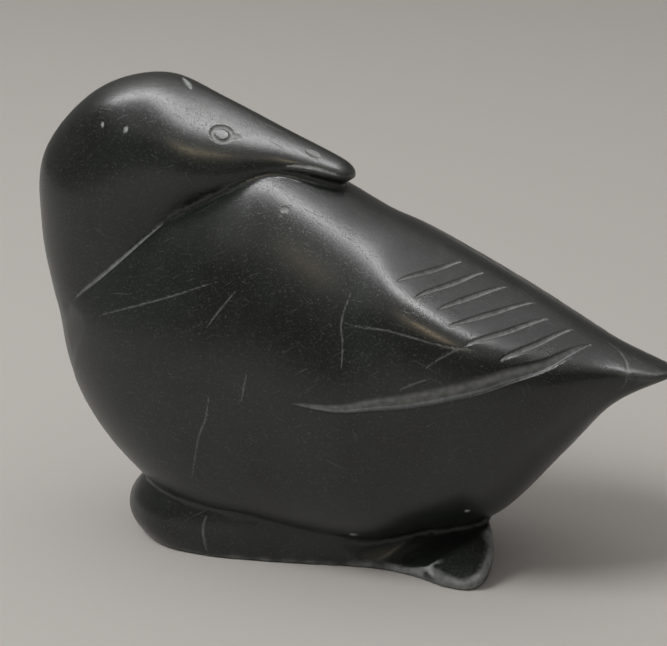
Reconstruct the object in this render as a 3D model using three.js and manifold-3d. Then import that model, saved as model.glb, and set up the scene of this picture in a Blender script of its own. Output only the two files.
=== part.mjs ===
// A soapstone carving of a resting bird, its head turned back so that the bill lies along its back.
// One block of stone: body, neck, head and foot block are carved as one, with no separate piece.
//
// Millimetres. +X runs from the breast to the tail, +Z is up, and the bird is symmetrical about the
// plane Y = 0. The origin is on the flat underside, midway between the front and back of the feet.

import * as THREE from "three";
import { mergeVertices } from "three/addons/utils/BufferGeometryUtils.js";
import Module from "manifold-3d";

const wasm = await Module();
wasm.setup();

// A form is a row of oval sections. Each section spans a top and a bottom point in the middle plane,
// [x, z], and is `half` wide each side at `level`, the share of the way up where it is widest.
// `upper` and `lower` are the superellipse powers of the two halves: 2 is an ellipse, more is squarer.
// `flat` is the pair of planes that the rasp left on its two sides: a slope falling towards the tail,
// a slope falling sideways, its height over the origin, how far its edges are rounded, and the stretch
// along X over which it sets in.
const BODY = {
  front: [-64.8, 47], back: [79.7, 50.4],
  flat: { along: 0.465, across: 0.43, height: 86.4, soft: 1.5, from: -9, to: 4 },
  stations: [
    { top: [-62.8, 57], bottom: [-61.6, 37], half: 10, level: 0.5, upper: 2, lower: 2 },
    { top: [-55, 67], bottom: [-54.6, 23.6], half: 19, level: 0.5, upper: 2, lower: 2 },
    { top: [-43, 76], bottom: [-43, 12.5], half: 26, level: 0.48, upper: 2.1, lower: 2.1 },
    { top: [-28, 83.5], bottom: [-27, 4.2], half: 30, level: 0.46, upper: 2.2, lower: 2.4 },
    { top: [-10, 89], bottom: [-8, 2.3], half: 31.8, level: 0.45, upper: 2.3, lower: 2.3 },
    { top: [8, 88], bottom: [10, 2.5], half: 32, level: 0.46, upper: 2.4, lower: 2.3 },
    { top: [25, 81], bottom: [26, 6.2], half: 31, level: 0.49, upper: 2.4, lower: 1.95 },
    { top: [41, 72], bottom: [41, 11.6], half: 28, level: 0.54, upper: 2.2, lower: 1.95 },
    { top: [55, 61], bottom: [55, 27], half: 20, level: 0.58, upper: 2, lower: 2 },
    { top: [66, 54.3], bottom: [65.5, 39.6], half: 11, level: 0.62, upper: 2, lower: 2 },
    { top: [75, 51.4], bottom: [74.5, 46.4], half: 5.5, level: 0.6, upper: 2, lower: 2 },
  ],
};
const HEAD = {
  front: [-38, 22], back: [6.6, 84.4],
  flat: { along: 0.43, across: 0.62, height: 91.2, soft: 1.2, from: -60, to: -30 },
  stations: [
    { top: [-52, 30], bottom: [-30, 28], half: 9, level: 0.5, upper: 2, lower: 2 },
    { top: [-63.6, 43], bottom: [-28, 42], half: 15, level: 0.5, upper: 2, lower: 2 },
    { top: [-67.2, 56], bottom: [-28, 52], half: 18, level: 0.5, upper: 2, lower: 2 },
    { top: [-69.3, 71], bottom: [-27, 61], half: 19.5, level: 0.5, upper: 2, lower: 2 },
    { top: [-68, 87], bottom: [-25, 68], half: 20, level: 0.5, upper: 2, lower: 2 },
    { top: [-56, 100.5], bottom: [-23, 72.5], half: 20, level: 0.46, upper: 2, lower: 2 },
    { top: [-41, 105.2], bottom: [-20, 75.5], half: 19, level: 0.42, upper: 2, lower: 2 },
    { top: [-25.5, 102.3], bottom: [-15, 78.5], half: 15, level: 0.38, upper: 2, lower: 2 },
    { top: [-10, 95.6], bottom: [-8, 83], half: 9, level: 0.4, upper: 2, lower: 2 },
    { top: [2.9, 90.2], bottom: [3.2, 83.4], half: 4.8, level: 0.45, upper: 2.2, lower: 2 },
  ],
};
// The foot block: its outline on the ground from the front end round the near side to the back end and
// round again, [x, y]; its height; how much it draws in, about `centre`, above and below its `bulge`;
// the sloping plane that its back corner was rasped to; and the half-round trough filed beside it,
// a round bar laid from one point of its centre line to another that stops at `stop` along X.
const FEET = {
  outline: [[-48.4, 1], [-47, -8], [-42, -16.6], [-34, -22.4], [-22, -23.8], [-10, -22.4], [0, -20.6],
    [10, -18.4], [19, -17.6], [27, -19.2], [34, -22.2], [39.5, -22.8], [42.6, -19.8], [42.6, -12],
    [39.5, -4], [36, 6], [30, 16], [20, 19.5], [0, 20.5], [-20, 22], [-35, 18.5], [-46, 10]],
  height: 13.5, centre: 20, bulge: 6, draw: 0.06,
  heel: { along: -0.112, across: 0.668, height: 21.1, from: 24 },
  trough: { start: [0, -35.3, -3.1], end: [53, 0, 27.9], radius: 9.1, stop: 8.8 },
};
// Cuts of a pointed chisel on the near side, which the far side mirrors. Each runs over a form's surface
// along its `course`, points of [share along the form, degrees round from its top edge]. It is `wide` and
// `deep` halfway and runs out to a point at both ends. `above` and `below` set how far its two slopes
// reach, in half widths: a small `above` makes the upper wall steep.
const WING_CUT = {
  form: BODY, steps: 22, wide: 2.6, deep: 1.6, above: 0.5, below: 2.8,
  course: [[0.468, 90], [0.545, 90], [0.62, 88.5], [0.69, 83], [0.75, 69], [0.8, 33]],
};
const FEATHER_CUTS = {
  form: BODY, steps: 9, wide: 1.5, deep: 0.9, above: 0.8, below: 1.2,
  courses: [
    [[0.582, 42], [0.634, 12]], [[0.602, 47], [0.66, 11]], [[0.626, 49], [0.686, 13]],
    [[0.638, 58], [0.718, 14]], [[0.657, 65], [0.74, 21]], [[0.695, 70], [0.77, 21]],
  ],
};
const MOUTH_CUT = {
  form: HEAD, steps: 10, wide: 0.9, deep: 0.5, above: 1, below: 1,
  course: [[0.825, 91], [0.865, 84], [0.895, 88], [0.935, 116]],
};
const EYE = { form: HEAD, at: [0.743, 51.5], radius: 2.1, groove: 0.42 };

// The row of numbers that describes a section, and the same row turned upside down. A row that is
// turned over and set beyond an end point carries the curve smoothly round that end.
const row = (s) => [...s.top, ...s.bottom, s.half, s.level, s.upper, s.lower];
const flipped = (s, end) => [
  2 * end[0] - s.bottom[0], 2 * end[1] - s.bottom[1], 2 * end[0] - s.top[0], 2 * end[1] - s.top[1],
  -s.half, 1 - s.level, s.upper, s.lower,
];

// The section at a share t of the way along a form, on a Catmull-Rom curve through its stations.
function sectionAt(form, t) {
  const first = form.stations[0];
  const last = form.stations.at(-1);
  const pole = (end, s) => [...end, ...end, 0, s.level, s.upper, s.lower];
  const rows = [
    flipped(first, form.front), pole(form.front, first), ...form.stations.map(row),
    pole(form.back, last), flipped(last, form.back),
  ];
  const spans = rows.length - 3;
  const at = Math.min(t * spans, spans - 1e-9);
  const i = Math.floor(at);
  const u = at - i;
  const [a, b, c, d] = rows.slice(i, i + 4);
  return b.map((_, k) => 0.5 * (2 * b[k] + (c[k] - a[k]) * u
    + (2 * a[k] - 5 * b[k] + 4 * c[k] - d[k]) * u * u + (3 * b[k] - a[k] - 3 * c[k] + d[k]) * u ** 3));
}

// A point pressed back under the two raspled planes of a flat, with a soft edge.
function pressed(point, { along, across, height, soft, from, to }) {
  const out = point.clone();
  const share = THREE.MathUtils.smoothstep(point.x, from, to);
  for (const side of [-1, 1]) {
    const normal = new THREE.Vector3(along, side * across, 1);
    const size = normal.length();
    const over = (normal.dot(out) - height) / size;
    const left = over > 20 * soft ? 0 : -soft * Math.log1p(Math.exp(-over / soft));
    out.addScaledVector(normal.divideScalar(size), (left - over) * share);
  }
  return out;
}

// A point of a form's surface: t along it, and angle round the section from its top edge, with a
// quarter turn at the bird's left side, -Y.
function surfacePoint(form, t, angle) {
  const [topX, topZ, bottomX, bottomZ, half, level, upper, lower] = sectionAt(form, t);
  const c = Math.cos(angle);
  const s = Math.sin(angle);
  const power = 2 / (c >= 0 ? upper : lower);
  const rise = Math.sign(c) * Math.abs(c) ** power;
  const side = Math.sign(s) * Math.abs(s) ** power;
  const share = level + rise * (c >= 0 ? 1 - level : level);
  return pressed(new THREE.Vector3(
    bottomX + (topX - bottomX) * share, -Math.max(half, 0) * side, bottomZ + (topZ - bottomZ) * share,
  ), form.flat);
}

// A form as a closed grid: the rings of a sphere, moved out to the form's surface.
function formGeometry(form, around, along) {
  const geometry = new THREE.SphereGeometry(1, around, along);
  const position = geometry.attributes.position;
  const uv = geometry.attributes.uv;
  for (let i = 0; i < position.count; i += 1) {
    const p = surfacePoint(form, 1 - uv.getY(i), -2 * Math.PI * uv.getX(i));
    position.setXYZ(i, p.x, p.y, p.z);
  }
  return geometry;
}

// The foot block: its outline extruded, drawn in above and below like a bull nose.
function feetGeometry() {
  const { outline, height, centre, bulge, draw } = FEET;
  const curve = new THREE.CatmullRomCurve3(outline.map(([x, y]) => new THREE.Vector3(x, y, 0)), true);
  const shape = new THREE.Shape(curve.getPoints(66).slice(0, -1).map((p) => new THREE.Vector2(p.x, p.y)));
  const geometry = new THREE.ExtrudeGeometry(shape, { depth: height, bevelEnabled: false, steps: 4 });
  const position = geometry.attributes.position;
  for (let i = 0; i < position.count; i += 1) {
    const scale = 1 - draw * (position.getZ(i) / bulge - 1) ** 2;
    position.setX(i, centre + (position.getX(i) - centre) * scale);
    position.setY(i, position.getY(i) * scale);
  }
  return geometry;
}

// A closed geometry as a solid that can be joined and cut.
function solidOf(geometry) {
  const bare = geometry.clone();
  bare.deleteAttribute("normal");
  bare.deleteAttribute("uv");
  const closed = mergeVertices(bare, 1e-4);
  return new wasm.Manifold(new wasm.Mesh({
    numProp: 3,
    vertProperties: new Float32Array(closed.attributes.position.array),
    triVerts: new Uint32Array(closed.index.array),
  }));
}

// The solid back as a geometry.
function geometryOf(solid) {
  const mesh = solid.getMesh();
  const geometry = new THREE.BufferGeometry();
  geometry.setAttribute("position", new THREE.BufferAttribute(mesh.vertProperties, 3));
  geometry.setIndex(new THREE.BufferAttribute(mesh.triVerts, 1));
  geometry.computeVertexNormals();
  return geometry;
}

// The foot block as a solid: the block, less its heel's sloping plane and the trough beside it.
function feetSolid() {
  const { trough, heel, height } = FEET;
  const start = new THREE.Vector3(...trough.start);
  const end = new THREE.Vector3(...trough.end);
  const bar = new THREE.CylinderGeometry(trough.radius, trough.radius, start.distanceTo(end), 40);
  bar.applyQuaternion(new THREE.Quaternion().setFromUnitVectors(
    new THREE.Vector3(0, 1, 0), end.clone().sub(start).normalize(),
  ));
  bar.translate(...start.add(end).multiplyScalar(0.5));
  const reach = 100;
  const behind = new THREE.BoxGeometry(reach, reach, reach);
  behind.translate(trough.stop + reach / 2, 0, 0);
  const above = new THREE.BoxGeometry(reach, reach, 2 * height);
  above.translate(heel.from + reach / 2, -reach / 2, 0);
  const corner = above.attributes.position;
  for (let i = 0; i < corner.count; i += 1) {
    const slope = heel.height + heel.along * corner.getX(i) + heel.across * corner.getY(i);
    corner.setZ(i, corner.getZ(i) > 0 ? 2 * height : slope);
  }
  return solidOf(feetGeometry()).subtract(solidOf(above)).subtract(solidOf(bar).intersect(solidOf(behind)));
}

// A point of a form's surface and the direction that faces out of it there.
function surfaceFrame(form, t, angle) {
  const step = 1e-3;
  const point = surfacePoint(form, t, angle);
  const along = surfacePoint(form, t + step, angle).sub(surfacePoint(form, t - step, angle));
  const around = surfacePoint(form, t, angle + step).sub(surfacePoint(form, t, angle - step));
  return { point, out: around.cross(along).normalize() };
}

// The solid that a chisel takes out along a cut: a long spindle with a V below the surface.
function chiselSolid({ form, steps, wide, deep, above, below, course }) {
  const curve = new THREE.CatmullRomCurve3(course.map(([t, turn]) => new THREE.Vector3(t, turn / 100, 0)));
  const at = (u) => {
    const { x, y } = curve.getPoint(u);
    return surfaceFrame(form, x, THREE.MathUtils.degToRad(y * 100));
  };
  const proud = 0.6;
  const section = [[0, -1], [above * (1 + proud), proud], [-below * (1 + proud), proud]];
  const geometry = new THREE.SphereGeometry(1, section.length, steps);
  const position = geometry.attributes.position;
  const uv = geometry.attributes.uv;
  for (let i = 0; i < position.count; i += 1) {
    const u = THREE.MathUtils.clamp(1 - uv.getY(i), 0.001, 0.999);
    const { point, out } = at(u);
    const ahead = at(u + 5e-4).point.sub(at(u - 5e-4).point).normalize();
    const up = ahead.cross(out);
    const swell = uv.getY(i) > 0 && uv.getY(i) < 1 ? Math.sin(Math.PI * u) ** 0.6 : 0;
    const corner = Math.round((uv.getX(i) + 1) * section.length) % section.length;
    const [across, height] = section[corner];
    point.addScaledVector(up, across * swell * wide / 2).addScaledVector(out, height * swell * deep);
    position.setXYZ(i, point.x, point.y, point.z);
  }
  return solidOf(geometry);
}

// The ring that is scribed for an eye.
function eyeSolid({ form, at, radius, groove }) {
  const { point, out } = surfaceFrame(form, at[0], THREE.MathUtils.degToRad(at[1]));
  const ring = new THREE.TorusGeometry(radius, groove, 6, 24);
  ring.applyQuaternion(new THREE.Quaternion().setFromUnitVectors(new THREE.Vector3(0, 0, 1), out));
  ring.translate(point.x, point.y, point.z);
  return solidOf(ring);
}

const body = solidOf(formGeometry(BODY, 46, 48));
const head = solidOf(formGeometry(HEAD, 36, 38));
let bird = body.add(head).add(feetSolid());
const cuts = [
  chiselSolid(WING_CUT), chiselSolid(MOUTH_CUT), eyeSolid(EYE),
  ...FEATHER_CUTS.courses.map((course) => chiselSolid({ ...FEATHER_CUTS, course })),
];
for (const cut of cuts) bird = bird.subtract(cut).subtract(cut.mirror([0, 1, 0]));

const part = new THREE.Group();
const carving = new THREE.Mesh(
  geometryOf(bird),
  new THREE.MeshStandardMaterial({ color: 0x2b2e2c, roughness: 0.4, metalness: 0 }),
);
carving.name = "bird_carving";
part.add(carving);

export default part;
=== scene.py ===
"""A soapstone carving of a resting bird, its head turned back over its shoulder.

The stone is built in millimetres from the forms of its solid, with their flats refined by a few
millimetres. The forms are joined, remeshed finely and then carved: every groove, line and chip is a move
of the mesh along its own normals. It becomes metres last.
+X runs from the breast to the tail, -Y is the bird's left side and Z = 0 is its flat underside.
"""

import math

import bmesh
import bpy
import numpy as np
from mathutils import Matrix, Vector
from mathutils.bvhtree import BVHTree


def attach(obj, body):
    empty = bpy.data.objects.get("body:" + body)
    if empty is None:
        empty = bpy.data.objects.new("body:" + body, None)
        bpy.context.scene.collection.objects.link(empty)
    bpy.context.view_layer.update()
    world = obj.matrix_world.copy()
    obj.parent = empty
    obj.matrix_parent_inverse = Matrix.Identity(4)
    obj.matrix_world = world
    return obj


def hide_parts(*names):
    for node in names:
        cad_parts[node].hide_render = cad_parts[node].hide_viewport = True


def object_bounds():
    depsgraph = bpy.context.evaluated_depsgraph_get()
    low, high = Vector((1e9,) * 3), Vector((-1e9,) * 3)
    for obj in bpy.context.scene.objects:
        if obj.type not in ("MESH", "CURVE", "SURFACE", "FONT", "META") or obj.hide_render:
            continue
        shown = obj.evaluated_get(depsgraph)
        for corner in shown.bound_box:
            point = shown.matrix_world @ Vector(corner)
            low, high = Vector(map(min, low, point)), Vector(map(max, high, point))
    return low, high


bl_info = {
    "name": "Soapstone bird carving",
    "version": (1, 0, 0),
    "blender": (4, 5, 0),
    "location": "3D View > Sidebar > Carving",
    "description": "Builds a polished soapstone bird and the studio it stands in",
    "category": "Object",
}

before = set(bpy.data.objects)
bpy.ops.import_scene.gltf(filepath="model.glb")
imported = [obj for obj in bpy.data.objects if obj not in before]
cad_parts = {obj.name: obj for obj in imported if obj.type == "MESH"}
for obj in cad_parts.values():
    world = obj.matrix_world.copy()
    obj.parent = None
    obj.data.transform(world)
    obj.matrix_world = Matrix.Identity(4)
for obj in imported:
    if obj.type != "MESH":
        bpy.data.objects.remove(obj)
cad_box = [[float(v) for v in corner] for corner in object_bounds()]

# A form is a row of oval sections. Each spans a top and a bottom point in the middle plane, [x, z], and
# is as wide as `half` on each side at `level`, the share of the way up where it is widest. `upper` and
# `lower` are the superellipse powers of its two halves. `flat` is the pair of planes left by the rasp:
# along * x + across * |y| + z stays under `height`, with an edge `soft` mm round that `ease` widens.
BODY = {
    "front": (-64.8, 47), "back": (79.7, 50.4),
    "flat": {
        "along": 0.495, "across": 0.36, "height": 86.6, "soft": 1.5, "ease": 0.6, "start": -40, "end": -30,
    },
    "stations": [  # top, bottom, half, level, upper, lower
        ((-62.8, 57), (-61.6, 37), 10, 0.5, 2, 2),
        ((-55, 67), (-54.6, 23.6), 19, 0.5, 2, 2),
        ((-43, 76), (-43, 12.5), 26, 0.48, 2.1, 2.1),
        ((-28, 83.5), (-27, 4.2), 30, 0.46, 2.1, 2.4),
        ((-10, 88), (-8, 2.3), 31.8, 0.45, 2.1, 2.3),
        ((12, 79.8), (13, 2.8), 31.9, 0.48, 2, 2.3),
        ((25, 79), (26, 6.2), 31, 0.49, 2.4, 1.95),
        ((41, 72), (41, 11.6), 28, 0.54, 2.2, 1.95),
        ((55, 61), (55, 27), 20, 0.58, 2, 2),
        ((66, 54.3), (65.5, 39.6), 11, 0.62, 2, 2),
        ((75, 51.4), (74.5, 46.4), 5.5, 0.6, 2, 2),
    ],
}
HEAD = {
    "front": (-38, 22), "back": (6.6, 84.4),
    "flat": {"along": 0.43, "across": 0.5, "height": 90.8, "soft": 1.2, "ease": 0, "start": -52, "end": -24},
    "stations": [
        ((-52, 30), (-30, 28), 9, 0.5, 2, 2),
        ((-63.6, 43), (-28, 42), 15, 0.5, 2, 2),
        ((-67.2, 56), (-28, 52), 18, 0.5, 2, 2),
        ((-69.3, 71), (-27, 61), 19.5, 0.5, 2, 2),
        ((-68, 87), (-25, 68), 20, 0.5, 2, 2),
        ((-56, 100.5), (-23, 72.5), 20, 0.46, 2, 2),
        ((-41, 105.2), (-20, 75.5), 19, 0.42, 2, 2),
        ((-25.5, 102.3), (-15, 78.5), 15, 0.38, 2, 2),
        ((-10, 95.6), (-8, 83), 9, 0.4, 2, 2),
        ((2.9, 90.2), (3.2, 83.4), 4.8, 0.45, 2.2, 2),
    ],
}
# Where along X the edge of a flat starts to ease, is at its softest, starts to sharpen and is crisp again.
EASE = {"start": 2, "full": 16, "leave": 22, "end": 40}
# How the breast melts into the neck: mm from the seam, the heights it fades over, and smoothing passes.
SEAM = {"near": 2, "far": 7, "foot": (14, 22), "crown": (44, 58), "passes": 30, "held": 0.3}
# The foot block: its outline on the ground, its height, how far it draws in above and below its bulge,
# the sloping plane of its back corner, and the half-round trough filed in front of that corner.
FEET = {
    "outline": [
        (-48.4, 1), (-47, -8), (-42, -16.6), (-34, -22.4), (-22, -23.8), (-10, -22.4), (0, -20.6),
        (10, -18.4), (19, -17.6), (27, -19.2), (34, -22.2), (39.5, -22.8), (42.6, -19.8), (42.6, -12),
        (39.5, -4), (36, 6), (30, 16), (20, 19.5), (0, 20.5), (-20, 22), (-35, 18.5), (-46, 10),
    ],
    "height": 13.5, "centre": 20, "bulge": 6, "draw": 0.06,
    "heel": {"along": -0.112, "across": 0.668, "height": 21.1, "start": 24},
    "trough": {"start": (0, -35.3, -3.1), "end": (53, 0, 27.9), "radius": 9.1, "stop": 8.8},
}
# Chisel cuts on the left side, which the right side mirrors. A course is points of (share along the
# form, degrees round from its top edge). `above` and `below` are the reach of a cut's two slopes in
# half widths, and `chalk` is how much stone dust lies in it.
WING_CUT = {
    "form": BODY, "wide": 2.6, "deep": 1.4, "above": 0.45, "below": 2.5, "chalk": 0.5,
    "course": [(0.46, 88), (0.53, 88), (0.591, 89), (0.646, 87), (0.699, 82), (0.755, 67), (0.804, 27)],
}
FEATHER_CUT = {"form": BODY, "wide": 1.3, "deep": 0.75, "above": 0.7, "below": 1.3, "chalk": 1}
FEATHERS = [
    [(0.58, 41), (0.612, 26), (0.635, 10)], [(0.603, 47), (0.636, 28), (0.66, 9)],
    [(0.628, 49), (0.66, 30), (0.687, 11)], [(0.638, 58), (0.682, 37), (0.718, 12)],
    [(0.657, 66), (0.702, 46), (0.74, 19)], [(0.696, 70), (0.735, 49), (0.771, 18)],
]
NECK_LINE = {
    "form": BODY, "wide": 1, "deep": 0.4, "above": 1, "below": 1.4, "chalk": 0.5,
    "course": [(0.164, 62), (0.216, 54), (0.254, 47), (0.285, 40), (0.31, 34)],
}
MOUTH_CUT = {
    "form": HEAD, "wide": 0.9, "deep": 0.5, "above": 1, "below": 1.2, "chalk": 1,
    "course": [(0.83, 90), (0.859, 84), (0.88, 83), (0.921, 96)],
}
EYE = {"form": HEAD, "at": (0.743, 53), "radius": 2.15, "groove": 0.4, "chalk": 1}
# On the left side alone: thin scratches, the double line round the tail and veins of paler stone.
SCRATCH = {"form": BODY, "wide": 0.5, "deep": 0.06, "above": 1, "below": 1, "chalk": 0.3}
SCRATCHES = [
    [(0.225, 71), (0.318, 64), (0.392, 59)], [(0.411, 61), (0.382, 72)],
    [(0.508, 49), (0.502, 60), (0.506, 67), (0.507, 75)], [(0.502, 60), (0.588, 67), (0.654, 68)],
    [(0.618, 78), (0.657, 66)], [(0.589, 85), (0.624, 81)], [(0.636, 56), (0.651, 55)],
    [(0.633, 68), (0.67, 66)], [(0.812, 7), (0.841, 18), (0.859, 48), (0.86, 95), (0.851, 123)],
    [(0.424, 82), (0.418, 90)], [(0.385, 89), (0.38, 95), (0.37, 102), (0.355, 120)],
]
# What handling left on the left side: small chips as short dents, then the crack and chips of the foot.
CHIP = {"wide": 2, "deep": 0.25, "above": 1, "below": 1, "chalk": 0.9}
CHIPS = [
    (HEAD, [(0.672, -1), (0.684, 7), (0.694, 14)]), (HEAD, [(0.857, 35), (0.869, 38), (0.88, 39)]),
    (HEAD, [(0.758, 51), (0.767, 53)]), (BODY, [(0.436, 30), (0.441, 31)]),
    (HEAD, [(0.556, 52), (0.561, 52)]), (HEAD, [(0.587, 60), (0.592, 62)]),
]
FOOT_MARKS = [
    ({**SCRATCH, "wide": 0.8, "deep": 0.25}, [(-20.8, -23, 10.4), (-21.6, -23.4, 7), (-21, -23.3, 0.6)]),
    (CHIP, [(12, -20.6, 8.1), (14, -20.6, 8)]), (CHIP, [(28.5, -20, 4), (30.5, -20, 5.4)]),
    (CHIP, [(39.8, -21, 11.5), (41, -21, 12.3)]),
]
# Edges rubbed pale: the share of dust on the bird and on its foot, the heights between the two, and the
# bend, as one over the radius in mm, where the wear starts and where it is full.
WEAR = {"bird": 0.12, "foot": 0.45, "heights": (12, 20), "bend": (0.12, 0.32)}
TAIL = {"start": 62, "gap": 0.1}  # the tail is drawn out from start to this far inside the solid's tip


def linear(colour):
    """A colour given as sRGB hex, as linear red, green, blue and alpha."""
    values = [int(colour[i:i + 2], 16) / 255 for i in (0, 2, 4)]
    return (*[v / 12.92 if v <= 0.04045 else ((v + 0.055) / 1.055) ** 2.4 for v in values], 1.0)


class CarvingSettings(bpy.types.PropertyGroup):
    """Sizes and colours of the stone bird."""

    grain: bpy.props.FloatProperty(
        name="Mesh grain", description="Edge length of the stone's mesh away from its cuts",
        default=0.001, min=0.0005, unit="LENGTH")
    fine: bpy.props.FloatProperty(
        name="Fine grain", description="Edge length of the mesh along the cuts",
        default=0.0003, min=0.0001, unit="LENGTH")
    depth: bpy.props.FloatProperty(
        name="Cut depth", description="Scale of the depth of every cut", default=1.0, min=0.0, max=2.0,
        subtype="FACTOR")
    dark: bpy.props.FloatVectorProperty(
        name="Dark stone", description="The stone's main dark green-grey", subtype="COLOR", size=4,
        default=linear("161917"), min=0, max=1)
    pale: bpy.props.FloatVectorProperty(
        name="Pale stone", description="The clouds of paler grey in the stone", subtype="COLOR", size=4,
        default=linear("232825"), min=0, max=1)
    chalk: bpy.props.FloatVectorProperty(
        name="Stone dust", description="Pale dust in the cuts and scratches", subtype="COLOR", size=4,
        default=linear("b2b5b4"), min=0, max=1)


class StudioSettings(bpy.types.PropertyGroup):
    """The floor, the camera and the lamps."""

    floor: bpy.props.FloatVectorProperty(
        name="Floor", description="Colour of the matt paper floor", subtype="COLOR", size=4,
        default=linear("cfcbc6"), min=0, max=1)
    turn: bpy.props.FloatProperty(
        name="Camera turn", description="How far round to the tail the camera stands from the left side",
        default=math.radians(20), subtype="ANGLE")
    tilt: bpy.props.FloatProperty(
        name="Camera tilt", description="How steeply the camera looks down",
        default=math.radians(16), subtype="ANGLE")
    lens: bpy.props.FloatProperty(
        name="Lens", description="Focal length of the camera in mm", default=115.3, min=1)
    distance: bpy.props.FloatProperty(
        name="Camera distance", description="From the middle of the bird to the camera",
        default=0.48, unit="LENGTH")
    strip: bpy.props.FloatProperty(
        name="Strip lamp", description="Power of the long lamp behind the bird", default=17, unit="POWER")
    ceiling: bpy.props.FloatProperty(
        name="Ceiling lamp", description="Power of the broad soft lamp overhead", default=38, unit="POWER")
    warm: bpy.props.FloatProperty(
        name="Warm lamp", description="Power of the small warm lamp to the right", default=1.6, unit="POWER")
    fill: bpy.props.FloatProperty(
        name="Fill lamp", description="Power of the broad lamp at the front left", default=17, unit="POWER")


def rows_of(form):
    """A form's sections as rows of numbers. A row turned over and set beyond each end rounds it off."""
    def flipped(row, end):
        turned = (2 * end[0] - row[2], 2 * end[1] - row[3], 2 * end[0] - row[0], 2 * end[1] - row[1])
        return (*turned, -row[4], 1 - row[5], row[6], row[7])

    rows = [(*top, *bottom, *rest) for top, bottom, *rest in form["stations"]]
    first, last = rows[0], rows[-1]
    poles = [(*form[end] * 2, 0, *row[5:]) for end, row in (("front", first), ("back", last))]
    return np.array([
        flipped(first, form["front"]), poles[0], *rows, poles[1], flipped(last, form["back"])])


def spline(rows, t):
    """Points at shares t along a smooth curve through all but the first and last of the rows."""
    spans = len(rows) - 3
    at = np.clip(t, 0, 1) * spans
    i = np.minimum(at.astype(int), spans - 1)
    u = (at - i)[:, None]
    a, b, c, d = (rows[i + k] for k in range(4))
    return 0.5 * (2 * b + (c - a) * u + (2 * a - 5 * b + 4 * c - d) * u ** 2
                  + (3 * b - a - 3 * c + d) * u ** 3)


def smoothstep(value, start, end):
    """0 before start, 1 after end, and smooth between them."""
    share = np.clip((value - start) / (end - start), 0, 1)
    return share * share * (3 - 2 * share)


def pressed(points, flat):
    """Points pressed back under the two planes of a flat, with an edge that eases behind the shoulder."""
    out = points.copy()
    eased = smoothstep(points[:, 0], EASE["start"], EASE["full"]) \
        * (1 - smoothstep(points[:, 0], EASE["leave"], EASE["end"]))
    soft = flat["soft"] + flat["ease"] * eased
    share = smoothstep(points[:, 0], flat["start"], flat["end"])
    for side in (-1, 1):
        normal = np.array([flat["along"], side * flat["across"], 1.0])
        size = np.linalg.norm(normal)
        over = (out @ normal - flat["height"]) / size
        under = -soft * np.logaddexp(0, -over / soft)
        out += ((under - over) * share)[:, None] * normal / size
    return out


def surface(form, t, angle):
    """Points of a form's surface. angle is in radians from its top edge, a quarter turn being -Y."""
    top_x, top_z, bottom_x, bottom_z, half, level, upper, lower = spline(rows_of(form), t).T
    c, s = np.cos(angle), np.sin(angle)
    power = 2 / np.where(c >= 0, upper, lower)
    rise = np.sign(c) * np.abs(c) ** power
    side = np.sign(s) * np.abs(s) ** power
    share = level + rise * np.where(c >= 0, 1 - level, level)
    points = np.stack([
        bottom_x + (top_x - bottom_x) * share, -np.maximum(half, 0) * side,
        bottom_z + (top_z - bottom_z) * share,
    ], 1)
    return pressed(points, form["flat"])


def unit(vectors):
    """Vectors made one long."""
    return vectors / np.maximum(np.linalg.norm(vectors, axis=1), 1e-9)[:, None]


def run_on(rows):
    """Rows with one more at each end, straight on, so that a spline reaches the first and the last."""
    return np.array([2 * rows[0] - rows[1], *rows, 2 * rows[-1] - rows[-2]])


def path_over(form, course, steps):
    """Points along a course over a form, and the directions ahead, out of the stone and across there."""
    rows = run_on(np.array([(share, math.radians(turn)) for share, turn in course]))
    t, angle = spline(rows, np.linspace(0, 1, steps)).T
    points = surface(form, t, angle)
    ahead = unit(np.gradient(points, axis=0))
    small = 1e-3
    along = surface(form, t + small, angle) - surface(form, t - small, angle)
    around = surface(form, t, angle + small) - surface(form, t, angle - small)
    out = unit(np.cross(around, along))
    return {"points": points, "ahead": ahead, "out": out, "across": unit(np.cross(ahead, out))}


def eye_path():
    """A path as short as a point, at the middle of the left eye."""
    share, turn = EYE["at"]
    return path_over(EYE["form"], [(share, turn), (share + 1e-3, turn)], 2)


def places(bm):
    """The places of a bmesh's vertices, as rows."""
    return np.array([vert.co[:] for vert in bm.verts])


def move(bm, points):
    """Moves a bmesh's vertices to new places."""
    for vert, place in zip(bm.verts, points.tolist()):
        vert.co = place


def path_on(tree, points, steps):
    """Points along a curve laid on the faces of a search tree, with the same directions there."""
    rows = run_on(np.array(points, float))
    laid = [tree.find_nearest(point)[:2] for point in spline(rows, np.linspace(0, 1, steps)).tolist()]
    points, out = (np.array([found[k][:] for found in laid]) for k in (0, 1))
    ahead = unit(np.gradient(points, axis=0))
    return {"points": points, "ahead": ahead, "out": out, "across": unit(np.cross(ahead, out))}


def edge_wear(bm):
    """How sharply the stone turns outwards at each vertex, from 0 on a smooth face to 1 on an edge."""
    turn = np.zeros(len(bm.verts))
    for i, vert in enumerate(bm.verts):
        around = [edge.other_vert(vert).co for edge in vert.link_edges]
        reach = sum((place - vert.co).length_squared for place in around) / len(around)
        middle = sum(around, Vector()) / len(around)
        turn[i] = 2 * (vert.co - middle).dot(vert.normal) / reach
    bm.verts.index_update()
    for _ in range(3):
        turn = np.array([np.mean([turn[edge.other_vert(vert).index] for edge in vert.link_edges])
                         for vert in bm.verts])
    return smoothstep(turn, *WEAR["bend"])


def mesh_object(name, bm):
    """A new object from a bmesh, which is freed."""
    mesh = bpy.data.meshes.new(name)
    bm.to_mesh(mesh)
    bm.free()
    made = bpy.data.objects.new(name, mesh)
    bpy.context.scene.collection.objects.link(made)
    return made


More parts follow.
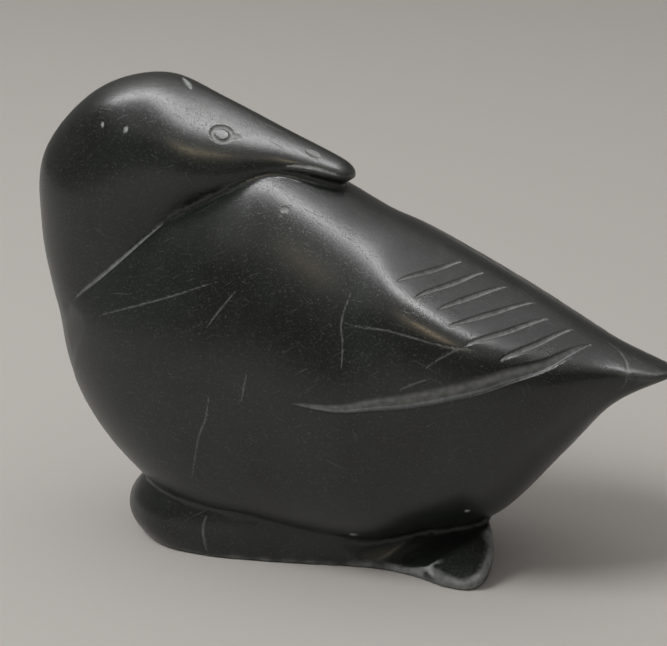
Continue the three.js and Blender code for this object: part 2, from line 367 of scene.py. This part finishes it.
def form_object(name, form, around, along):
    """A form as a closed ball, its rings moved out to the form's surface."""
    bm = bmesh.new()
    bmesh.ops.create_uvsphere(bm, u_segments=around, v_segments=along, radius=1)
    ball = places(bm)
    t = np.arccos(np.clip(-ball[:, 2], -1, 1)) / math.pi
    move(bm, surface(form, t, np.arctan2(ball[:, 1], ball[:, 0])))
    bmesh.ops.recalc_face_normals(bm, faces=bm.faces)
    return mesh_object(name, bm)


def feet_object():
    """The foot block: a drum moved out to its outline and drawn in above and below like a bull nose."""
    outline = np.array([*FEET["outline"][-1:], *FEET["outline"], *FEET["outline"][:2]], float)
    bm = bmesh.new()
    bmesh.ops.create_cone(bm, cap_ends=True, segments=240, radius1=1, radius2=1, depth=1)
    upright = [e for e in bm.edges if abs(e.verts[0].co.z - e.verts[1].co.z) > 0.5]
    bmesh.ops.subdivide_edges(bm, edges=upright, cuts=11)
    share = [math.atan2(v.co.y, v.co.x) / math.tau % 1 for v in bm.verts]
    for vert, (x, y) in zip(bm.verts, spline(outline, np.array(share))):
        height = (vert.co.z + 0.5) * FEET["height"]
        scale = 1 - FEET["draw"] * (height / FEET["bulge"] - 1) ** 2
        vert.co = (FEET["centre"] + (x - FEET["centre"]) * scale, y * scale, height)
    bmesh.ops.recalc_face_normals(bm, faces=bm.faces)
    return mesh_object("foot_block", bm)


def heel_object():
    """What the rasp took off above the heel: a block with a sloping underside."""
    heel = FEET["heel"]
    bm = bmesh.new()
    bmesh.ops.create_cube(bm, size=100)
    bmesh.ops.translate(bm, verts=bm.verts, vec=(heel["start"] + 50, -50, 0))
    for vert in bm.verts:
        slope = heel["height"] + heel["along"] * vert.co.x + heel["across"] * vert.co.y
        vert.co.z = 2 * FEET["height"] if vert.co.z > 0 else slope
    return mesh_object("heel_waste", bm)


def trough_object():
    """What the round file took out in front of the heel: a round bar cut off square."""
    trough = FEET["trough"]
    start, end = Vector(trough["start"]), Vector(trough["end"])
    bm = bmesh.new()
    bmesh.ops.create_cone(
        bm, cap_ends=True, segments=96, radius1=trough["radius"], radius2=trough["radius"],
        depth=(end - start).length)
    turn = (end - start).to_track_quat("Z", "Y").to_matrix()
    bmesh.ops.rotate(bm, verts=bm.verts, cent=(0, 0, 0), matrix=turn)
    bmesh.ops.translate(bm, verts=bm.verts, vec=(start + end) / 2)
    cut = bmesh.ops.bisect_plane(
        bm, geom=[*bm.verts, *bm.edges, *bm.faces], plane_co=(trough["stop"], 0, 0),
        plane_no=(-1, 0, 0), clear_outer=True)["geom_cut"]
    bmesh.ops.holes_fill(bm, edges=[g for g in cut if isinstance(g, bmesh.types.BMEdge)])
    bmesh.ops.recalc_face_normals(bm, faces=bm.faces)
    return mesh_object("trough_waste", bm)


def combined(target, tools, operation):
    """The target with each tool object joined to it or cut from it. The tools are used up."""
    for tool in tools:
        join = target.modifiers.new(tool.name, "BOOLEAN")
        join.operation, join.solver, join.object = operation, "MANIFOLD", tool
    settled(target)
    for tool in tools:
        bpy.data.objects.remove(tool)
    return target


def settled(target):
    """The object with its modifiers made part of its mesh."""
    bpy.context.view_layer.update()
    result = bpy.data.meshes.new_from_object(target.evaluated_get(bpy.context.evaluated_depsgraph_get()))
    target.modifiers.clear()
    target.data = result
    return target


def tree_of(target):
    """A search tree of an object's faces."""
    bm = bmesh.new()
    bm.from_mesh(target.data)
    tree = BVHTree.FromBMesh(bm)
    bm.free()
    return tree


def gap_to(tree, points):
    """How far each point is from the faces of a search tree."""
    return np.array([tree.find_nearest(point)[3] for point in points.tolist()])


def relaxed(bm, verts):
    """Smooths some of the vertices once."""
    bmesh.ops.smooth_vert(bm, verts=verts, factor=0.5, use_axis_x=True, use_axis_y=True, use_axis_z=True)


def laid_on(bm, tree, held):
    """Moves the vertices to the nearest faces of a search tree, by the share that held gives each."""
    for vert, share in zip(bm.verts, held):
        place = tree.find_nearest(vert.co)[0]
        vert.co = vert.co.lerp(place, share)


def refined(bm, paths, fine):
    """Splits the edges near the paths until they are about as short as fine."""
    for _ in range(3):
        bm.verts.index_update()
        edges = list(bm.edges)
        points = places(bm)
        ends = points[np.array([(e.verts[0].index, e.verts[1].index) for e in edges])]
        middle = ends.mean(1)
        length = np.linalg.norm(ends[:, 0] - ends[:, 1], axis=1)
        chosen = np.zeros(len(edges), bool)
        for path, reach in paths:
            low, high = path.min(0) - reach - 1, path.max(0) + reach + 1
            inside = np.flatnonzero(((middle > low) & (middle < high)).all(1) & (length > 1.5 * fine))
            apart = np.linalg.norm(middle[inside, None] - path[None], axis=2).min(1, initial=np.inf)
            chosen[inside] |= apart < reach + 0.5 * length[inside]
        if not chosen.any():
            break
        bmesh.ops.subdivide_edges(bm, edges=[edges[i] for i in np.flatnonzero(chosen)], cuts=1)
        bmesh.ops.triangulate(bm, faces=[f for f in bm.faces if len(f.verts) > 3])


def near_path(points, path, reach):
    """Which points are within reach of a path, and for those the share along it and how far across it."""
    found = np.flatnonzero(
        ((points > path["points"].min(0) - reach) & (points < path["points"].max(0) + reach)).all(1))
    if not len(found):
        return found, None, None
    apart = points[found, None] - path["points"][None]
    nearest = np.linalg.norm(apart, axis=2).argmin(1)
    offset = apart[np.arange(len(found)), nearest]
    ahead = (offset * path["ahead"][nearest]).sum(1)
    across = (offset * path["across"][nearest]).sum(1)
    out = (offset * path["out"][nearest]).sum(1)
    step = np.linalg.norm(np.diff(path["points"], axis=0), axis=1).mean()
    share = (nearest + ahead / step) / (len(path["points"]) - 1)
    keep = (np.abs(across) < reach) & (np.abs(out) < 4) & (share > -0.02) & (share < 1.02)
    return found[keep], np.clip(share[keep], 0, 1), across[keep]


def reach_of(cut):
    """How far from its path a cut reaches, with a little to spare."""
    return cut["wide"] / 2 * max(cut["above"], cut["below"]) + 0.3


def chiselled(points, cut, path):
    """How deep a cut goes at each point, and how much pale dust lies there, most of it on the lower slope,
    which faces the light: there the dust is partly a painted highlight.
    """
    depth, dust_and_painted_highlight = np.zeros(len(points)), np.zeros(len(points))
    found, share, across = near_path(points, path, reach_of(cut))
    if len(found):
        swell = np.sin(np.pi * share) ** 0.6
        slope = np.where(across > 0, cut["above"], cut["below"]) * cut["wide"] / 2 * np.maximum(swell, 0.05)
        wall = np.clip(1 - np.abs(across) / slope, 0, 1)
        depth[found] = cut["deep"] * swell * wall
        # The lower slope faces up to the lamps and gets more pale dust: partly real dust, partly a painted
        # highlight on the lit side of the cut.
        lower = 0.4 + 0.6 * smoothstep(-across / slope, -0.5, 0.1)
        dust_and_painted_highlight[found] = cut["chalk"] * smoothstep(wall, 0.0, 0.5) * np.minimum(1, 3 * swell) * lower
    return depth, dust_and_painted_highlight


def ringed(points):
    """How deep the ring scribed for an eye goes at each point, and how much dust lies there."""
    path = eye_path()
    centre, out = path["points"][0], path["out"][0]
    offset = points - centre
    height = offset @ out
    apart = np.linalg.norm(offset - height[:, None] * out, axis=1)
    wall = np.clip(1 - (np.abs(apart - EYE["radius"]) / (1.3 * EYE["groove"])) ** 2, 0, 1)
    wall[np.abs(height) > 3] = 0
    return EYE["groove"] * wall, EYE["chalk"] * wall ** 0.5


def node(tree, kind, sockets=None, **settings):
    """Adds a node. sockets gives its inputs, each by name or number, as a value or another's output."""
    made = tree.nodes.new(kind)
    for name, value in settings.items():
        setattr(made, name, value)
    for key, value in (sockets or {}).items():
        if isinstance(value, bpy.types.NodeSocket):
            tree.links.new(value, made.inputs[key])
        else:
            made.inputs[key].default_value = value
    return made


def per(size_mm):
    """The scale of a pattern whose features are this many millimetres across."""
    return 1000 / size_mm


def polished_soapstone(settings):
    """Soapstone rasped, rubbed down and waxed: nearly black green-grey clouds, a soft satin gloss, many
    fine scratches that catch the light, and pale dust left in every cut, laid thicker on each cut's lower
    slope as a painted highlight where that slope faces the light."""
    material = bpy.data.materials.new("polished_soapstone")
    material.use_nodes = True
    tree = material.node_tree
    tree.nodes.clear()
    place = node(tree, "ShaderNodeTexCoord").outputs["Object"]

    clouds = node(tree, "ShaderNodeTexNoise", {
        "Vector": place, "Scale": per(22), "Detail": 5, "Roughness": 0.6})
    stone = node(tree, "ShaderNodeMix", {
        0: node(tree, "ShaderNodeMapRange", {
            "Value": clouds.outputs["Fac"], "From Min": 0.35, "From Max": 0.68}).outputs[0],
        6: tuple(settings.dark), 7: tuple(settings.pale)}, data_type="RGBA")

    scratches = None
    for turn in ((0.3, 0.4, 0.1), (0.7, -0.5, 0.2), (0, 1.2, 0.4), (0.5, -0.12, -0.3)):
        laid = node(tree, "ShaderNodeMapping", {
            "Vector": place, "Rotation": turn, "Scale": (0.013, 0.0003, 0.0003)}, vector_type="TEXTURE")
        grain = node(tree, "ShaderNodeTexNoise", {"Vector": laid.outputs[0], "Scale": 1, "Detail": 1})
        lines = node(tree, "ShaderNodeMapRange", {
            "Value": grain.outputs["Fac"], "From Min": 0.7, "From Max": 0.78}).outputs[0]
        scratches = lines if scratches is None else node(
            tree, "ShaderNodeMath", {0: scratches, 1: lines}, operation="MAXIMUM").outputs[0]
    specks = node(tree, "ShaderNodeMapRange", {
        "Value": node(tree, "ShaderNodeTexNoise", {
            "Vector": place, "Scale": per(0.45), "Detail": 2}).outputs["Fac"],
        "From Min": 0.58, "From Max": 0.8}).outputs[0]
    marks = node(tree, "ShaderNodeMath", {0: scratches, 1: specks}, operation="MAXIMUM").outputs[0]

    patches = node(tree, "ShaderNodeTexNoise", {"Vector": place, "Scale": per(1.4), "Detail": 3})
    # Pale dust from the mesh, broken into patches: dust in the cuts and on rubbed edges, plus a painted
    # highlight on the lower slope of each cut.
    dust_and_painted_highlight = node(tree, "ShaderNodeMath", {
        0: node(tree, "ShaderNodeAttribute", attribute_name="dust_and_painted_highlight").outputs["Fac"],
        1: node(tree, "ShaderNodeMapRange", {
            "Value": patches.outputs["Fac"], "From Min": 0.35, "From Max": 0.6, "To Min": 0.6}).outputs[0]},
        operation="MULTIPLY").outputs[0]
    marked = node(tree, "ShaderNodeMix", {
        0: node(tree, "ShaderNodeMath", {0: marks, 1: 0.1}, operation="MULTIPLY").outputs[0],
        6: stone.outputs[2], 7: tuple(settings.chalk)}, data_type="RGBA")
    colour = node(tree, "ShaderNodeMix", {
        0: dust_and_painted_highlight, 6: marked.outputs[2], 7: tuple(settings.chalk)}, data_type="RGBA")

    satin = node(tree, "ShaderNodeMapRange", {
        "Value": clouds.outputs["Fac"], "From Min": 0.3, "From Max": 0.7, "To Min": 0.26, "To Max": 0.33})
    rough = node(tree, "ShaderNodeMath", {
        0: satin.outputs[0],
        1: node(tree, "ShaderNodeMath", {0: marks, 1: 0.2}, operation="MULTIPLY").outputs[0]},
        operation="ADD")
    rough = node(tree, "ShaderNodeMix", {0: dust_and_painted_highlight, 2: rough.outputs[0], 3: 0.85})
    bump = node(tree, "ShaderNodeBump", {
        "Height": marks, "Strength": 0.35, "Distance": 0.00006}, invert=True)
    shader = node(tree, "ShaderNodeBsdfPrincipled", {
        "Base Color": colour.outputs[2], "Roughness": rough.outputs[0], "Normal": bump.outputs[0],
        "IOR": 1.56})
    node(tree, "ShaderNodeOutputMaterial", {"Surface": shader.outputs[0]})
    return material


def studio_paper(settings):
    """Matt backdrop paper: even, pale and without gloss."""
    material = bpy.data.materials.new("studio_paper")
    material.use_nodes = True
    shader = material.node_tree.nodes["Principled BSDF"]
    shader.inputs["Base Color"].default_value = settings.floor
    shader.inputs["Roughness"].default_value = 0.9
    shader.inputs["Specular IOR Level"].default_value = 0.2
    return material


class CARVING_OT_bird(bpy.types.Operator):
    """Carve the soapstone bird"""

    bl_idname = "carving.bird"
    bl_label = "Carve bird"

    def execute(self, context):
        settings = context.scene.carving
        body = form_object("soapstone_bird", BODY, 256, 256)
        head = form_object("head_form", HEAD, 200, 200)
        head_tree, body_tree = tree_of(head), tree_of(body)
        feet = combined(feet_object(), [heel_object(), trough_object()], "DIFFERENCE")
        bird = combined(body, [head, feet], "UNION")
        exact = tree_of(bird)

        remesh = bird.modifiers.new("even_mesh", "REMESH")
        remesh.mode, remesh.voxel_size = "VOXEL", settings.grain * 1000
        settled(bird)

        cuts = [(cut, path_over(cut["form"], cut["course"], 120)) for cut in (
            WING_CUT, MOUTH_CUT, NECK_LINE, *({**FEATHER_CUT, "course": course} for course in FEATHERS))]
        marks = [(SCRATCH, path_over(BODY, course, 120)) for course in SCRATCHES]
        marks += [(CHIP, path_over(form, course, 12)) for form, course in CHIPS]
        marks += [(mark, path_on(exact, course, 40)) for mark, course in FOOT_MARKS]
        near = [(path["points"], reach_of(cut)) for cut, path in cuts]
        near.append((eye_path()["points"], EYE["radius"] + 2 * EYE["groove"]))
        near += [(points * (1, -1, 1), reach) for points, reach in near]
        near += [(path["points"], mark["wide"] / 2 + 0.15) for mark, path in marks]

        bm = bmesh.new()
        bm.from_mesh(bird.data)
        bmesh.ops.triangulate(bm, faces=bm.faces)
        refined(bm, near, settings.fine * 1000)
        points = places(bm)
        seam = np.maximum(gap_to(head_tree, points), gap_to(body_tree, points))
        melted = (1 - smoothstep(seam, SEAM["near"], SEAM["far"])) \
            * (1 - smoothstep(points[:, 2], *SEAM["crown"])) * smoothstep(points[:, 2], *SEAM["foot"])
        for _ in range(2):
            relaxed(bm, bm.verts)
            laid_on(bm, exact, 1 - melted)
        soft = [v for v, share in zip(bm.verts, melted) if share > SEAM["held"]]
        for _ in range(SEAM["passes"]):
            relaxed(bm, soft)
        bm.normal_update()

        points = places(bm)
        normals = np.array([vert.normal[:] for vert in bm.verts])
        mirrored = np.stack([points[:, 0], -np.abs(points[:, 1]), points[:, 2]], 1)
        depth, dust_and_painted_highlight = ringed(mirrored)
        for stone, group in ((mirrored, cuts), (points, marks)):
            for cut, path in group:
                here, chalk = chiselled(stone, cut, path)
                depth, dust_and_painted_highlight = np.maximum(depth, here), np.maximum(dust_and_painted_highlight, chalk)
        foot = 1 - smoothstep(points[:, 2], *WEAR["heights"])
        dust_and_painted_highlight = np.maximum(dust_and_painted_highlight, edge_wear(bm) * (WEAR["bird"] + WEAR["foot"] * foot))
        points -= normals * (depth * settings.depth)[:, None]
        tip = points[:, 0].max()
        lost = 1000 * cad_box[1][0] - TAIL["gap"] - tip
        points[:, 0] += lost * smoothstep(points[:, 0], TAIL["start"], tip)
        move(bm, points)
        bmesh.ops.scale(bm, verts=bm.verts, vec=(0.001, 0.001, 0.001))
        bm.to_mesh(bird.data)
        bm.free()
        # The stored value is dust in the cuts and on rubbed edges, plus a painted highlight on the lower
        # slope of each cut.
        bird.data.attributes.new("dust_and_painted_highlight", "FLOAT", "POINT").data.foreach_set("value", dust_and_painted_highlight)
        bird.data.shade_smooth()
        bird.data.materials.clear()
        bird.data.materials.append(polished_soapstone(settings))
        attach(bird, "root")
        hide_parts("bird_carving")
        return {"FINISHED"}


class CARVING_OT_studio(bpy.types.Operator):
    """Set up the floor, the camera and the lamps"""

    bl_idname = "carving.studio"
    bl_label = "Set up studio"

    def execute(self, context):
        settings = context.scene.studio
        bm = bmesh.new()
        bmesh.ops.create_grid(bm, x_segments=1, y_segments=1, size=6)
        floor = mesh_object("floor", bm)
        floor.data.materials.append(studio_paper(settings))

        middle = Vector((0.00085, 0, 0.0508))
        turn, tilt = settings.turn, settings.tilt
        back = Vector((math.sin(turn) * math.cos(tilt), -math.cos(turn) * math.cos(tilt), math.sin(tilt)))
        camera = bpy.data.objects.new("camera", bpy.data.cameras.new("camera"))
        camera.data.lens = settings.lens
        camera.location = middle + settings.distance * back
        camera.rotation_euler = (-back).to_track_quat("-Z", "Y").to_euler()
        context.scene.collection.objects.link(camera)
        context.scene.camera = camera

        # The strip draws the long highlights on the crown and shoulder, the ceiling lifts the flats, the
        # warm lamp leaves a yellowish spot on the ridge, and the fill lights the floor and casts the shadow.
        strip = self.lamp("strip_lamp", settings.strip, (1.85, 0.16), (-0.325, 0.3, 1.25), (-0.325, 0, 0))
        strip.visible_diffuse = False
        self.lamp("ceiling_lamp", settings.ceiling, (5.6, 5.6), (0, 0.2, 2.65), (0, 0.2, 0))
        warm = self.lamp("warm_lamp", settings.warm, (0.16, 0.16), (0.42, -0.87, 1.2), middle)
        warm.data.color = linear("ffe6bd")[:3]
        warm.visible_diffuse = False
        fill = self.lamp("fill_lamp", settings.fill, (0.8, 0.8), (-0.9, -0.8, 1.4), middle)
        fill.visible_glossy = False

        world = bpy.data.worlds.new("room")
        world.use_nodes = True
        backdrop = world.node_tree.nodes["Background"]
        backdrop.inputs["Color"].default_value = linear("c8c4be")
        backdrop.inputs["Strength"].default_value = 0.25
        context.scene.world = world
        context.scene.view_settings.view_transform = "Standard"
        return {"FINISHED"}

    def lamp(self, name, power, size, place, target):
        """Adds a soft rectangular lamp that faces a target, its first size level with the X axis."""
        light = bpy.data.lights.new(name, "AREA")
        light.shape, light.size, light.size_y, light.energy = "RECTANGLE", *size, power
        made = bpy.data.objects.new(name, light)
        made.location = place
        made.rotation_euler = (Vector(target) - Vector(place)).to_track_quat("-Z", "Y").to_euler()
        bpy.context.scene.collection.objects.link(made)
        return made


class CARVING_PT_panel(bpy.types.Panel):
    """Lists the steps that build the carving"""

    bl_label = "Soapstone bird"
    bl_idname = "CARVING_PT_panel"
    bl_space_type = "VIEW_3D"
    bl_region_type = "UI"
    bl_category = "Carving"

    def draw(self, context):
        for settings, operator in (
                (context.scene.carving, CARVING_OT_bird), (context.scene.studio, CARVING_OT_studio)):
            for name in settings.__annotations__:
                self.layout.prop(settings, name)
            self.layout.operator(operator.bl_idname)


CLASSES = (CarvingSettings, StudioSettings, CARVING_OT_bird, CARVING_OT_studio, CARVING_PT_panel)


def register():
    for kind in CLASSES:
        bpy.utils.register_class(kind)
    bpy.types.Scene.carving = bpy.props.PointerProperty(type=CarvingSettings)
    bpy.types.Scene.studio = bpy.props.PointerProperty(type=StudioSettings)


def unregister():
    del bpy.types.Scene.studio
    del bpy.types.Scene.carving
    for kind in reversed(CLASSES):
        bpy.utils.unregister_class(kind)


def main():
    """Builds the carving and its studio."""
    register()
    bpy.ops.carving.bird()
    bpy.ops.carving.studio()


if __name__ == "__main__":
    main()
